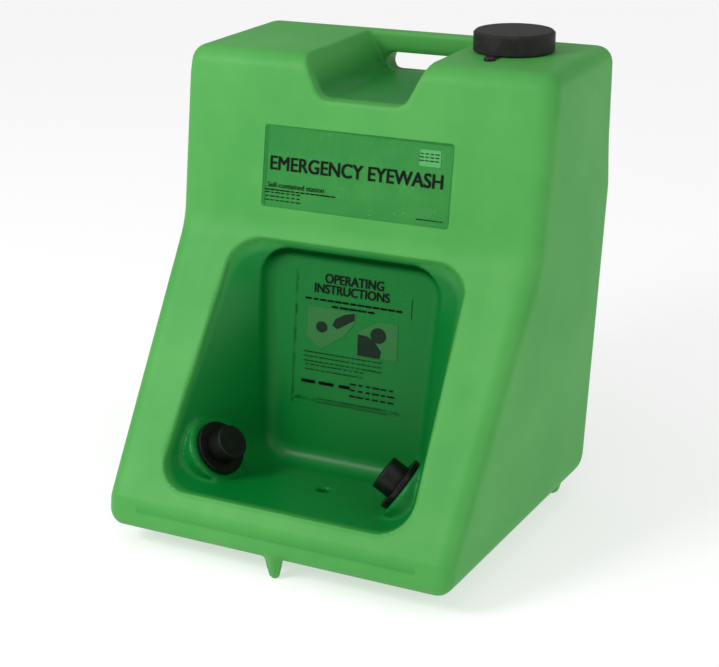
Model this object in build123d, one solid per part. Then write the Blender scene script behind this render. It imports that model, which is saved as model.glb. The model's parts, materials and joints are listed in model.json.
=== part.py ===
from build123d import *
import math
import os

# Portable gravity-fed eyewash station: one hollow rotomoulded tank with a basin in its front,
# two pull-capped nozzles in the basin, a carrying handle in its top and a screwed fill cap.
# Millimetres. X to the right, Y to the rear, Z up. The origin is the middle of the footprint,
# on the surface that the three feet stand on.

os.makedirs("parts", exist_ok=True)

# --- driving dimensions: tank -------------------------------------------------------------
HEIGHT = 630.0          # floor to tank top
FOOT_HEIGHT = 30.0      # floor to the underside of the tank
DEPTH = 546.0           # front lip to the rearmost point
FOOTPRINT_MIDDLE = 271.0    # from the front lip, the edges being rounded
WALL = 5.0              # moulded wall
LIP_HEIGHT = 43.0       # upright front lip, above the underside
BEND_Y = 251.0          # where the sloping basin frame turns into the upper front
BEND_HEIGHT = 363.0     # the same, above the underside
TOP_FRONT_Y = 292.0     # front edge of the top, from the front lip
REAR_KNEE_Y = 513.0     # rear wall where it turns in, from the front lip
REAR_KNEE_HEIGHT = 470.0
REAR_BASE_Y = 452.0     # rear edge of the underside, from the front lip
HALF_WIDTH_FRONT = 251.0    # at the front lip
SIDE_TOE_OUT = 0.063        # half width gained for each millimetre to the rear
SHOULDER_LEAN = 0.077       # half width lost for each millimetre above the bend
EDGE_ROUND = 22.0           # edges all round the two sides

# --- driving dimensions: basin --------------------------------------------------------------
BASIN_TOP_HALF = 176.0      # half width of the opening at its top and bottom
BASIN_BOTTOM_HALF = 186.0
BASIN_BACK_TOP_HALF = 136.0     # half width of the back wall at its top and bottom
BASIN_BACK_BOTTOM_HALF = 124.0
BASIN_BACK_TOP_Y = 268.0
BASIN_BACK_BOTTOM_Y = 226.0
BASIN_FLOOR_HEIGHT = 36.0       # basin floor at the back wall, above the underside
BASIN_BACK_HEIGHT = 338.0       # top of the back wall, above the underside
OPENING_LOW = 24.0              # bottom edge of the opening, measured up the slope
OPENING_HIGH = 12.0             # top edge of the opening, measured down the slope
OPENING_CORNER = 48.0
MOUTH_STEP = 10.0               # the rim drops this far behind the slope before the walls flare
MOUTH_REACH = 60.0              # the hollow is drawn this far past the slope
MOUTH_DRAFT = 0.35              # and draws in this much for each millimetre
BASIN_BACK_ROUND = 20.0         # where the walls turn into the back wall
BACK_CORNER = 42.0              # corners of the back wall, seen square on
BACK_ROUND_STEPS = 4
DRAIN_X = 12.0
DRAIN_Y = 140.0
DRAIN_RADIUS = 9.0
DRAIN_TOP = 43.5                # top of the drain tube, inside the basin floor's wall

# --- driving dimensions: feet -----------------------------------------------------------------
FOOT_ROOT = 8.0             # how far a foot reaches into the tank's underside
FRONT_FOOT_Y = 18.0         # from the front lip
FRONT_FOOT_TIP = 7.0
FRONT_FOOT_BASE = 14.5
FRONT_FOOT_ROUND = 3.0
REAR_FOOT_X = 236.0
REAR_FOOT_INSET = 34.0      # from the rear edge of the underside to the foot's middle
REAR_FOOT_TREAD = (26.0, 26.0, 8.0)     # width, depth and corner on the floor
REAR_FOOT_BASE = (44.0, 46.0, 12.0)     # the same at the underside

# --- driving dimensions: handle and fill neck -------------------------------------------------
RECESS_TOP_HALF = 90.0
RECESS_FLOOR_HALF = 62.0
RECESS_DEPTH = 57.0
BAR_DEPTH = 46.0            # handle bar, front to rear
SLOT_HEIGHT = 27.0          # finger slot under the bar
SLOT_HALF = 62.0
NECK_X = 158.0
NECK_Y = 432.0              # from the front lip
NECK_RADIUS = 46.0
NECK_BORE = 41.0
NECK_HEIGHT = 22.0          # above the top of the tank

# --- driving dimensions: fill cap ---------------------------------------------------------------
CAP_RADIUS = 55.0
CAP_GAP = 2.4               # skirt to tank top, screwed home
CAP_ROOF = 4.0
CAP_SKIRT = 4.5
CAP_SECTORS = 12            # touching solids that the skirt is made of, each nearly convex
CAP_GASKET = 2.5
VENT_RADIUS = 5.0           # valve pressed into a boss under the roof
VENT_TALL = 6.0
VENT_HOLE = 1.0
STRAP_THICK = 1.8
STRAP_WIDTH = 12.0
RIVET_OFFSET = (-5.0, -77.0)    # from the neck's axis
RIVET_RADIUS = 3.0
RIVET_HEAD = 7.5

# --- driving dimensions: nozzles, measured along each nozzle's own axis from its pad ---------------
NOZZLE_X = 138.0
NOZZLE_Y = 118.0            # from the front lip
NOZZLE_HEIGHT = 86.0        # above the underside
NOZZLE_LIFT = 35.0          # degrees the jet points upwards
NOZZLE_TOE = 10.0           # degrees the jet points to the front
PAD_RADIUS = 47.0
PAD_CLEARANCE = 44.0
PAD_REACH = 60.0
GASKET_THICK = 2.0
FLANGE_RADIUS = 37.5
FLANGE_THICK = 6.0
SPIGOT_RADIUS = 16.5
SPIGOT_BORE = 12.0
SPIGOT_LENGTH = 26.0        # behind the pad face
NOSE_RADIUS = 19.0
NOSE_BORE = 15.0
NOSE_TOP = 27.0
NUT_THICK = 8.0
NUT_ACROSS = 52.0
PULL_CAP_RADIUS = 23.5
PULL_CAP_ROOF = 3.0
PULL_CAP_SEAL = 2.0
SCREEN_SLOTS = 8
ROSE_RINGS = 3
CLEARANCE = 0.3             # between faces that move past each other
FIT = 0.05                  # between faces that are pressed or clipped together

# --- driving dimensions: labels ------------------------------------------------------------------
LABEL_HALF = 139.0
LABEL_LOW = 32.0            # bottom edge of the label, measured up the upper front from the bend
LABEL_TALL = 112.0
LABEL_RECESS = 1.4
LABEL_FILM = 0.6
GUIDE_WIDTH = 178.0
GUIDE_TALL = 196.0
TAG_WIDTH = 30.0
TAG_TALL = 22.0
TAG_FILM = 0.4
GUIDE_LOW = 119.0           # bottom edge of the instruction label above the underside


def y_of(from_front):
    """Y in the part's frame of a distance behind the front lip."""
    return from_front - FOOTPRINT_MIDDLE


def z_of(above_underside):
    """Z in the part's frame of a height above the tank's underside."""
    return above_underside + FOOT_HEIGHT


TANK_TALL = HEIGHT - FOOT_HEIGHT
TOP_Z = HEIGHT
SLOPE_START = Vector(0, y_of(8.0), z_of(LIP_HEIGHT))
SLOPE_END = Vector(0, y_of(BEND_Y), z_of(BEND_HEIGHT))
UPPER_END = Vector(0, y_of(TOP_FRONT_Y), z_of(TANK_TALL))


def face_plane(low, high):
    """Plane of a front face between two points of the side outline, facing out, X to the right."""
    up = (high - low).normalized()
    return Plane(origin=low, x_dir=(1, 0, 0), z_dir=Vector(1, 0, 0).cross(up))


SLOPE = face_plane(SLOPE_START, SLOPE_END)
UPPER = face_plane(SLOPE_END, UPPER_END)
SLOPE_LENGTH = (SLOPE_END - SLOPE_START).length


# --- tank ------------------------------------------------------------------------------------------
def side_outline(inset):
    """Side view of the tank, every corner rounded, drawn in by the inset."""
    corners = [
        ((y_of(0.0), z_of(0.0)), 14.0),
        ((y_of(REAR_BASE_Y), z_of(0.0)), 30.0),
        ((y_of(REAR_KNEE_Y), z_of(REAR_KNEE_HEIGHT)), 120.0),
        ((y_of(DEPTH), z_of(TANK_TALL)), 24.0),
        ((y_of(TOP_FRONT_Y), z_of(TANK_TALL)), 26.0),
        ((y_of(BEND_Y), z_of(BEND_HEIGHT)), 90.0),
        ((y_of(8.0), z_of(LIP_HEIGHT)), 16.0),
    ]
    outline = make_face(Polyline([at for at, _ in corners], close=True))
    for at, radius in corners:
        corner = outline.vertices().sort_by_distance((*at, 0))[0]
        outline = fillet(corner, radius)
    return offset(outline, -inset) if inset else outline


def front_outline(inset):
    """Front view: upright sides to the bend, then leaning in, with a long curve between."""
    reach = HALF_WIDTH_FRONT + SIDE_TOE_OUT * DEPTH - inset
    low, bend, high = z_of(-10.0), z_of(BEND_HEIGHT), z_of(TANK_TALL + 10.0)
    drawn_in = reach - SHOULDER_LEAN * (high - bend)
    points = [(-reach, low), (reach, low), (reach, bend), (drawn_in, high), (-drawn_in, high), (-reach, bend)]
    outline = make_face(Polyline(points, close=True))
    for x in (-reach, reach):
        outline = fillet(outline.vertices().sort_by_distance((x, bend, 0))[0], 900.0)
    return outline


def plan_outline(inset):
    """Plan view: the sides run straight, closer together at the front."""
    front, rear = y_of(-10.0), y_of(DEPTH + 10.0)
    at_front = HALF_WIDTH_FRONT - SIDE_TOE_OUT * 10.0 - inset
    at_rear = HALF_WIDTH_FRONT + SIDE_TOE_OUT * (DEPTH + 10.0) - inset
    return make_face(Polyline([(-at_front, front), (at_front, front), (at_rear, rear), (-at_rear, rear)], close=True))


def tank_block(inset):
    """Tank without its hollows, drawn in by the inset, its side edges rounded."""
    block = extrude(Plane.YZ * side_outline(inset), amount=400, both=True)
    block &= extrude(Plane.XZ * front_outline(inset), amount=600, both=True)
    block &= Pos(0, 0, -20) * extrude(plan_outline(inset), amount=HEIGHT + 100)
    rim = [e for e in block.edges() if abs(e.center().X) > 150 and not crosses_one_side(e)]
    return fillet(rim, EDGE_ROUND - inset)


def crosses_one_side(edge):
    """True for an edge that lies within a side of the block, where its lean begins."""
    near_bend = abs(edge.center().Z - z_of(BEND_HEIGHT)) < 60
    return near_bend and abs(edge.tangent_at(0.5).Z) < 0.2 and edge.length > 150




def rounded_quad(plane, low_half, high_half, low, high, radius):
    """Face on a plane: a trapezoid, symmetrical about x = 0, with rounded corners."""
    corners = [(-low_half, low), (low_half, low), (high_half, high), (-high_half, high)]
    outline = make_face(Polyline(corners, close=True))
    return plane * fillet(outline.vertices(), radius)


BACK_LOW = Vector(0, y_of(BASIN_BACK_BOTTOM_Y), z_of(BASIN_FLOOR_HEIGHT))
BACK_HIGH = Vector(0, y_of(BASIN_BACK_TOP_Y), z_of(BASIN_BACK_HEIGHT))
BACK = face_plane(BACK_LOW, BACK_HIGH)
BACK_TALL = (BACK_HIGH - BACK_LOW).length


def back_section(forward, wider, corner):
    """Outline parallel to the basin's back wall, a distance in front of it."""
    return rounded_quad(
        BACK.offset(forward),
        BASIN_BACK_BOTTOM_HALF + wider,
        BASIN_BACK_TOP_HALF + wider,
        -wider,
        BACK_TALL + wider,
        corner + wider,
    )


def basin():
    """The basin hollow in three solids: rounded back, funnel that opens out from it, and mouth."""
    sections = []
    for step in range(BACK_ROUND_STEPS + 1):
        turn = math.pi / 2 * step / BACK_ROUND_STEPS
        forward = BASIN_BACK_ROUND * (1 - math.cos(turn))
        wider = -BASIN_BACK_ROUND * (1 - math.sin(turn))
        sections.append(back_section(forward, wider, BACK_CORNER))
    rim, mouth = mouth_section(-MOUTH_STEP, 0), mouth_section(MOUTH_REACH, 0)
    return [loft(sections, ruled=True), loft([sections[-1], rim], ruled=True), loft([rim, mouth], ruled=True)]


def basin_backing():
    """What the basin and its wall take out of the inside of the tank, in two solids."""
    back = back_section(-WALL, WALL, BACK_CORNER - BASIN_BACK_ROUND)
    rim, mouth = mouth_section(-MOUTH_STEP - 2, WALL + 1), mouth_section(MOUTH_REACH, WALL + 1)
    return [loft([back, rim], ruled=True), loft([rim, mouth], ruled=True)]


def mouth_section(lift, grow):
    """Outline of the opening, a little larger for each millimetre that it lies in front of the slope."""
    wider = grow + MOUTH_DRAFT * lift
    return rounded_quad(
        SLOPE.offset(lift),
        BASIN_BOTTOM_HALF + wider,
        BASIN_TOP_HALF + wider,
        OPENING_LOW - wider,
        SLOPE_LENGTH - OPENING_HIGH + wider,
        OPENING_CORNER + wider,
    )


def nozzle_plane(side):
    """Plane on the nozzle's pad; its Z runs along the jet, side is -1 on the left, 1 on the right."""
    lift, toe = math.radians(NOZZLE_LIFT), math.radians(NOZZLE_TOE)
    jet = Vector(-side * math.cos(lift) * math.cos(toe), -math.cos(lift) * math.sin(toe), math.sin(lift))
    seat = Vector(side * NOZZLE_X, y_of(NOZZLE_Y), z_of(NOZZLE_HEIGHT))
    return Plane(origin=seat, x_dir=Vector(0, 1, 0).cross(jet), z_dir=jet)


def rod(plane, radius, low, high):
    """Cylinder along a plane's Z, between two heights above the plane."""
    return extrude(plane.offset(low) * Circle(radius), amount=high - low)


def tube(plane, outer, inner, low, high):
    """Hollow cylinder along a plane's Z, between two heights above the plane."""
    return rod(plane, outer, low, high) - rod(plane, inner, low - 1, high + 1)


def handle_recess(grow):
    """Trough across the top and the finger slot that runs from it under the handle bar."""
    floor = z_of(TANK_TALL) - RECESS_DEPTH - grow
    top = TOP_Z + 20
    flare = (RECESS_TOP_HALF - RECESS_FLOOR_HALF) / RECESS_DEPTH
    floor_half = RECESS_FLOOR_HALF + grow
    top_half = floor_half + flare * (top - floor)
    corners = [(-floor_half, floor), (floor_half, floor), (top_half, top), (-top_half, top)]
    outline = make_face(Polyline(corners, close=True))
    outline = fillet(outline.vertices().sort_by(Axis.Y)[:2], 22.0 + grow)
    bar_front = y_of(DEPTH - BAR_DEPTH) + grow
    trough = extrude(Plane.XZ.offset(-bar_front) * outline, amount=bar_front - y_of(TOP_FRONT_Y - 90))
    slot_tall = SLOT_HEIGHT + 2 * grow
    slot = RectangleRounded(2 * (SLOT_HALF + grow), slot_tall, min(12.0 + grow, slot_tall / 2 - 0.5))
    slot_plane = Plane.XZ.offset(-y_of(DEPTH + 20)) * Pos(0, floor + slot_tall / 2) * slot
    return [trough, extrude(slot_plane, amount=BAR_DEPTH + 60)]


def feet():
    """Front foot under the lip and two rear feet, all reaching the floor."""
    tall = FOOT_HEIGHT + FOOT_ROOT
    on_floor = (Align.CENTER, Align.CENTER, Align.MIN)
    front = Pos(0, y_of(FRONT_FOOT_Y), 0) * Cone(FRONT_FOOT_TIP, FRONT_FOOT_BASE, tall, align=on_floor)
    solids = fillet(front.edges().sort_by(Axis.Z)[0], FRONT_FOOT_ROUND)
    for side in (-1, 1):
        solids += Pos(side * REAR_FOOT_X, y_of(REAR_BASE_Y - REAR_FOOT_INSET), 0) * loft([
            RectangleRounded(*REAR_FOOT_TREAD),
            Pos(0, 0, tall) * RectangleRounded(*REAR_FOOT_BASE),
        ])
    return solids


def rivet_plane():
    """Plane on the tank's top, upright, under the rivet of the cap's strap."""
    at = (NECK_X + RIVET_OFFSET[0], y_of(NECK_Y) + RIVET_OFFSET[1], TOP_Z)
    return Plane(origin=at, z_dir=(0, 0, 1))


def label_outline(margin):
    """Outline of the front label on the upper front, smaller all round by the margin."""
    width, tall = 2 * (LABEL_HALF - margin), LABEL_TALL - 2 * margin
    return UPPER * Pos(0, LABEL_LOW + LABEL_TALL / 2) * RectangleRounded(width, tall, 6.0 - margin)


def tank_skin(inset):
    """Solid bounded by the tank's outer skin, or by its inner one when it is drawn in by the wall."""
    solid = tank_block(inset)
    for hollow in basin_backing() if inset else basin():
        solid -= hollow
    for side in (-1, 1):
        seat = nozzle_plane(side)
        solid += rod(seat, PAD_RADIUS - inset, -PAD_REACH, -inset)
        solid -= rod(seat, PAD_CLEARANCE + inset, -inset, PAD_REACH)
    for hollow in handle_recess(inset):
        solid -= hollow
    return solid


def neck_plane():
    """The top of the tank at the fill neck's axis, facing up."""
    return Plane(origin=(NECK_X, y_of(NECK_Y), TOP_Z), z_dir=(0, 0, 1))


def tank_shell():
    """One-piece hollow tank: its skins and feet, and the holes that are cut in it."""
    shell = tank_skin(0) - tank_skin(WALL) + feet()
    shell -= rod(neck_plane(), NECK_RADIUS, -2 * WALL, 1)
    drain = Plane(origin=(DRAIN_X, y_of(DRAIN_Y), z_of(0)), z_dir=(0, 0, 1))
    shell += rod(drain, DRAIN_RADIUS + WALL, WALL / 2, DRAIN_TOP)
    shell -= rod(drain, DRAIN_RADIUS, -10, DRAIN_TOP + 30)
    for side in (-1, 1):
        shell -= rod(nozzle_plane(side), SPIGOT_RADIUS + CLEARANCE, -2 * WALL, WALL)
    shell -= rod(rivet_plane(), RIVET_RADIUS, -2 * WALL, 1)
    return shell - extrude(label_outline(0), amount=-LABEL_RECESS)



# --- nozzles, each in the plane of its own pad ---------------------------------------------------------
FLANGE_BASE = GASKET_THICK
FLANGE_TOP = FLANGE_BASE + FLANGE_THICK
SEAL_BASE = NOSE_TOP + CLEARANCE
PULL_CAP_BORE = NOSE_RADIUS + CLEARANCE


def nozzle_housing(seat):
    """Flange, spray nose and the threaded spigot that passes through the tank wall."""
    body = rod(seat, FLANGE_RADIUS, FLANGE_BASE, FLANGE_TOP)
    body = chamfer(body.edges().sort_by(seat_axis(seat))[-1], 1.0)
    body += rod(seat, NOSE_RADIUS, FLANGE_TOP, NOSE_TOP)
    body += rod(seat, SPIGOT_RADIUS, -SPIGOT_LENGTH, FLANGE_BASE)
    body -= rod(seat, SPIGOT_BORE, -SPIGOT_LENGTH - 1, NOSE_TOP - 6)
    body -= rod(seat, NOSE_BORE, NOSE_TOP - 6, NOSE_TOP + 1)
    for groove in range(3):
        low = -NUT_THICK - WALL - 1 - 4.0 * groove
        body -= tube(seat, SPIGOT_RADIUS + 1, SPIGOT_RADIUS - 0.9, low - 2.0, low)
    return body


def seat_axis(seat):
    """Axis along a nozzle's jet, starting on its pad."""
    return Axis(seat.origin, seat.z_dir)


def nozzle_locknut(seat):
    """Hexagonal nut that draws the flange down on the wall from inside the tank."""
    hexagon = seat.offset(-WALL - NUT_THICK) * RegularPolygon(NUT_ACROSS / 2, 6, major_radius=False)
    nut = extrude(hexagon, amount=NUT_THICK) - rod(seat, SPIGOT_RADIUS + FIT, -WALL - NUT_THICK - 1, 0)
    return nut


def flow_insert(seat):
    """Orifice that holds the flow steady as the tank's level falls."""
    insert = rod(seat, SPIGOT_BORE - FIT, -14.0, -4.0)
    insert -= rod(seat, 3.5, -15.0, -3.0)
    funnel = loft([
        seat.offset(-4.0) * Circle(9.0),
        seat.offset(-9.0) * Circle(3.5),
    ])
    return insert - funnel


def inlet_screen(seat):
    """Slotted strainer cup that is pushed into the spigot's inner end."""
    cup = tube(seat, SPIGOT_BORE - FIT, 9.6, -SPIGOT_LENGTH, -18.0)
    cup += tube(seat, 14.5, 9.6, -SPIGOT_LENGTH - 2.0, -SPIGOT_LENGTH)
    cup += tube(seat, 11.0, 9.6, -SPIGOT_LENGTH - 14.0, -SPIGOT_LENGTH - 2.0)
    cup += rod(seat, 11.0, -SPIGOT_LENGTH - 16.0, -SPIGOT_LENGTH - 14.0)
    slots = PolarLocations(10.3, SCREEN_SLOTS)
    for slot in slots:
        cup -= seat.offset(-SPIGOT_LENGTH - 8.0) * slot * Box(4.0, 2.0, 9.0)
    return cup


def spray_rose(seat):
    """Perforated disc that breaks the flow into a soft spray."""
    disc = rod(seat, NOSE_BORE - FIT, NOSE_TOP - 4.0, NOSE_TOP - 0.5)
    holes = Sketch() + [Circle(1.1)]
    for ring in range(1, ROSE_RINGS + 1):
        holes += PolarLocations(4.2 * ring, 6 * ring) * Circle(1.1)
    return disc - extrude(seat.offset(NOSE_TOP - 5.0) * holes, amount=6)


def pull_cap(seat):
    """Black cup that closes a nozzle and is pulled off along the jet."""
    low = FLANGE_TOP + CLEARANCE
    roof = SEAL_BASE + PULL_CAP_SEAL
    cup = rod(seat, PULL_CAP_RADIUS, low, roof + PULL_CAP_ROOF)
    cup = fillet(cup.edges().sort_by(seat_axis(seat))[-1], 1.5)
    return cup - rod(seat, PULL_CAP_BORE, low - 1, roof)


def pull_cap_seal(seat):
    """Rubber washer in the roof of a pull cap, which lies on the rim of the nose."""
    return tube(seat, PULL_CAP_BORE, NOSE_BORE - 1.0, SEAL_BASE, SEAL_BASE + PULL_CAP_SEAL)


def nozzle_gasket(seat):
    """Flat rubber ring between the flange and the tank wall."""
    return tube(seat, FLANGE_RADIUS - 4.0, SPIGOT_RADIUS + CLEARANCE, 0.0, GASKET_THICK)


# --- fill neck and cap ------------------------------------------------------------------------------------
NECK = neck_plane()
RIM = NECK_HEIGHT


def filler_neck():
    """Plain moulded ring that passes through the tank's top wall."""
    return tube(NECK, NECK_RADIUS, NECK_BORE, -WALL, NECK_HEIGHT)


def sector(plane, index, count, reach, low, high):
    """One of several equal wedges round a plane's axis."""
    ends = [math.radians(360 / count * (index + side)) for side in (0, 1)]
    outline = [(0, 0)] + [(reach * math.cos(end), reach * math.sin(end)) for end in ends]
    return extrude(plane.offset(low) * make_face(Polyline(*outline, close=True)), amount=high - low)


def fill_cap():
    """Screw cap: bevelled roof, vent boss and plain skirt, as solids that touch face to face."""
    ceiling = RIM + CAP_GASKET
    top = ceiling + CAP_ROOF
    outside = rod(NECK, CAP_RADIUS, CAP_GAP, top)
    outside = chamfer(outside.edges().sort_by(Axis.Z)[-1], 3.0)
    outside = fillet(outside.edges().sort_by(Axis.Z)[-2:], 1.2)
    reach = 2 * CAP_RADIUS
    roof = (outside & rod(NECK, reach, ceiling, top + 1)) - rod(NECK, VENT_HOLE, RIM, top + 1)
    boss = tube(NECK, VENT_RADIUS + 2.0, VENT_RADIUS, ceiling - VENT_TALL, ceiling)
    skirt = (outside & rod(NECK, reach, 0, ceiling)) - rod(NECK, CAP_RADIUS - CAP_SKIRT, 0, ceiling)
    solids = roof.solids() + boss.solids()
    for index in range(CAP_SECTORS):
        solids += (skirt & sector(NECK, index, CAP_SECTORS, reach, 0, ceiling)).solids()
    return Compound(children=list(solids))


def vent_valve():
    """Rubber duckbill in the boss under the cap's roof: air in, no fluid out."""
    low = RIM + CAP_GASKET - VENT_TALL
    bill = loft([
        NECK.offset(low - 5.0) * Rectangle(7.0, 2.0),
        NECK.offset(low) * Rectangle(7.0, 7.0),
    ])
    valve = rod(NECK, VENT_RADIUS - FIT, low, RIM + CAP_GASKET) + bill
    valve -= rod(NECK, 2.2, low - 1.0, RIM + CAP_GASKET + 1)
    return valve - extrude(NECK.offset(low - 6.0) * Rectangle(5.0, 0.6), amount=6.0)


def tether_strap():
    """Strap of the cap's keeper: a loose ring round the neck and a tongue to the rivet."""
    at = rivet_plane()
    tongue_long = -RIVET_OFFSET[1] - NECK_RADIUS
    tongue = Pos(0, tongue_long / 2) * Rectangle(STRAP_WIDTH, tongue_long) + Circle(STRAP_WIDTH / 2 + 1.5)
    strap = extrude(at * tongue, amount=STRAP_THICK) + rod(NECK, CAP_RADIUS - 3.0, 0, STRAP_THICK)
    return strap - rod(NECK, NECK_RADIUS + CLEARANCE, -1, 5) - rod(at, RIVET_RADIUS + FIT, -1, 5)


def tether_rivet():
    """Domed push rivet that holds the strap on the tank's top."""
    at = rivet_plane()
    head = rod(at, RIVET_HEAD, STRAP_THICK, STRAP_THICK + 3.2)
    head = fillet(head.edges().sort_by(Axis.Z)[-1], 2.4)
    shank = rod(at, RIVET_RADIUS - FIT, -WALL - 4.0, STRAP_THICK)
    barb = rod(at, RIVET_RADIUS + 1.2, -WALL - 3.0, -WALL - 0.2)
    return head + shank + chamfer(barb.edges().sort_by(Axis.Z)[0], 1.0)


# --- labels ------------------------------------------------------------------------------------------------
def front_label():
    """Printed film in the shallow recess on the upper front."""
    block = extrude(label_outline(0.8), amount=-LABEL_RECESS)
    return block - extrude(label_outline(-1.0), amount=LABEL_FILM - LABEL_RECESS)


def inspection_tag():
    """Small dated sticker in the upper right corner of the front label."""
    at = UPPER.offset(LABEL_FILM - LABEL_RECESS) * Pos(106.0, LABEL_LOW + LABEL_TALL - 22.0)
    return extrude(at * RectangleRounded(TAG_WIDTH, TAG_TALL, 2.0), amount=TAG_FILM)


def instruction_label():
    """Printed film on the basin's back wall."""
    up = GUIDE_LOW - BASIN_FLOOR_HEIGHT + GUIDE_TALL / 2
    return extrude(BACK * Pos(0, up) * RectangleRounded(GUIDE_WIDTH, GUIDE_TALL, 8.0), amount=LABEL_FILM)


def cap_gasket():
    """Rubber ring in the cap's roof that seals on the rim of the neck."""
    return tube(NECK, CAP_RADIUS - CAP_SKIRT, NECK_BORE - 3.0, RIM, RIM + CAP_GASKET)


# --- write each piece ---------------------------------------------------------------------------------------
pieces = {"tank_shell": tank_shell()}
for side, name in ((-1, "left"), (1, "right")):
    seat = nozzle_plane(side)
    pieces[f"nozzle_housing_{name}"] = nozzle_housing(seat)
    pieces[f"nozzle_gasket_{name}"] = nozzle_gasket(seat)
    pieces[f"nozzle_locknut_{name}"] = nozzle_locknut(seat)
    pieces[f"flow_insert_{name}"] = flow_insert(seat)
    pieces[f"inlet_screen_{name}"] = inlet_screen(seat)
    pieces[f"spray_rose_{name}"] = spray_rose(seat)
    pieces[f"pull_cap_{name}"] = pull_cap(seat)
    pieces[f"pull_cap_seal_{name}"] = pull_cap_seal(seat)
pieces["filler_neck"] = filler_neck()
pieces["fill_cap"] = fill_cap()
pieces["cap_gasket"] = cap_gasket()
pieces["vent_valve"] = vent_valve()
pieces["tether_strap"] = tether_strap()
pieces["tether_rivet"] = tether_rivet()
pieces["front_label"] = front_label()
pieces["inspection_tag"] = inspection_tag()
pieces["instruction_label"] = instruction_label()

for node, solid in pieces.items():
    box = solid.bounding_box()
    print(node, round(solid.volume), solid.is_valid, box.min, box.max)
    export_step(solid, f"parts/{node}.step")
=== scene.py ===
"""A portable gravity-fed eyewash station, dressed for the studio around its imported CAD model.

The tank is one rotomoulded polyethylene shell with a basin in its front. Two nozzles face each other in the
basin under pull-off caps, a screw cap closes the filler on top, and printed films carry the instructions.
"""

import json
import logging
import math
from dataclasses import dataclass
from dataclasses import field
from enum import Enum

import bmesh
import bpy
import numpy as np
from mathutils import Matrix
from mathutils import Vector


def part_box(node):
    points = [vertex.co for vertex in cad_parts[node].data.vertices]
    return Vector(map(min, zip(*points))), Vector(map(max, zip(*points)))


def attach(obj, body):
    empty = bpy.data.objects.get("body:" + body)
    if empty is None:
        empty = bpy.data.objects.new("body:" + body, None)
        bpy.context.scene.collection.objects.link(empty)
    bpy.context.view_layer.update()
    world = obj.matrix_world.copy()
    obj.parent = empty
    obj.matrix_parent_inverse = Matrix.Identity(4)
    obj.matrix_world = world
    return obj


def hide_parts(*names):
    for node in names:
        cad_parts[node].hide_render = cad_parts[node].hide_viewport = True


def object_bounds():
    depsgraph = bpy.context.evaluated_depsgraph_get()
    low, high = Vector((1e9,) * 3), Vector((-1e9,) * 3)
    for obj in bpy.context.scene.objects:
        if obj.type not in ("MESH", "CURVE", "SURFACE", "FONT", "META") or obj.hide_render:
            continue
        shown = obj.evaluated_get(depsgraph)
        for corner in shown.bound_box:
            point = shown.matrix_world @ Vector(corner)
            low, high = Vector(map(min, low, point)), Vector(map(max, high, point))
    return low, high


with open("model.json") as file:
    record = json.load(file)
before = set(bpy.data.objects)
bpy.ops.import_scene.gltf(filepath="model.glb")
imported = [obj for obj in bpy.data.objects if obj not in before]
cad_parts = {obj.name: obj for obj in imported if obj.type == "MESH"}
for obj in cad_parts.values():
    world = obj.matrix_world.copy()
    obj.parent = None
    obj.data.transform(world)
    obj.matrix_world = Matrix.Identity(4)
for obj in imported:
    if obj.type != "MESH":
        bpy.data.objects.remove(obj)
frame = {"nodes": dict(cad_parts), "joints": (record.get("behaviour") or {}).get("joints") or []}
CAD_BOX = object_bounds()
NODES = frame["nodes"]
JOINTS = {joint["name"]: joint for joint in frame["joints"]}
MM = 0.001
LOG = logging.getLogger("eyewash")


class Side(Enum):
    """The two nozzles, as seen by someone who stands in front of the basin."""

    LEFT = "left"
    RIGHT = "right"


class Align(Enum):
    """Which edge of its box a line of print is pushed to."""

    LEFT = -1.0
    CENTRE = 0.0
    RIGHT = 1.0


# ---------------------------------------------------------------- small tools


def linear(hex_colour: str, alpha: float = 1.0) -> tuple[float, float, float, float]:
    """Turns an sRGB hex colour into the linear colour that a shader takes.

    Args:
        hex_colour: six hex digits, with or without a leading hash.
        alpha: the fourth value.

    Returns:
        Red, green, blue and alpha, linear.
    """
    digits = hex_colour.lstrip("#")
    parts = [int(digits[i : i + 2], 16) / 255 for i in (0, 2, 4)]
    bent = [c / 12.92 if c <= 0.04045 else ((c + 0.055) / 1.055) ** 2.4 for c in parts]
    return (bent[0], bent[1], bent[2], alpha)


def add_node(tree: bpy.types.NodeTree, kind: str, settings: dict | None = None,
             links: dict | None = None) -> bpy.types.Node:
    """Adds one node, sets its properties, and fills its inputs.

    Args:
        tree: the shader or geometry tree.
        kind: the node's type name.
        settings: property names and their values.
        links: input names or numbers, each with a constant or with the socket that feeds it.

    Returns:
        The new node.
    """
    node = tree.nodes.new(kind)
    for name, value in (settings or {}).items():
        setattr(node, name, value)
    for key, value in (links or {}).items():
        if isinstance(value, bpy.types.NodeSocket):
            tree.links.new(value, node.inputs[key])
        else:
            node.inputs[key].default_value = value
    return node


def per_metre(feature_mm: float) -> float:
    """The texture scale at which one feature of a noise is about this many millimetres across."""
    return 1 / (feature_mm * MM)


def noise(tree: bpy.types.NodeTree, where: bpy.types.NodeSocket, feature_mm: float, detail: float,
          roughness: float) -> bpy.types.Node:
    """Adds a noise texture sized by its features.

    Args:
        tree: the shader tree.
        where: the socket with the place on the object.
        feature_mm: about how wide one feature is.
        detail: how many finer layers are laid over it.
        roughness: how strong those layers are.

    Returns:
        The noise node.
    """
    return add_node(tree, "ShaderNodeTexNoise", {}, {
        "Vector": where, "Scale": per_metre(feature_mm), "Detail": detail, "Roughness": roughness})


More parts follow.
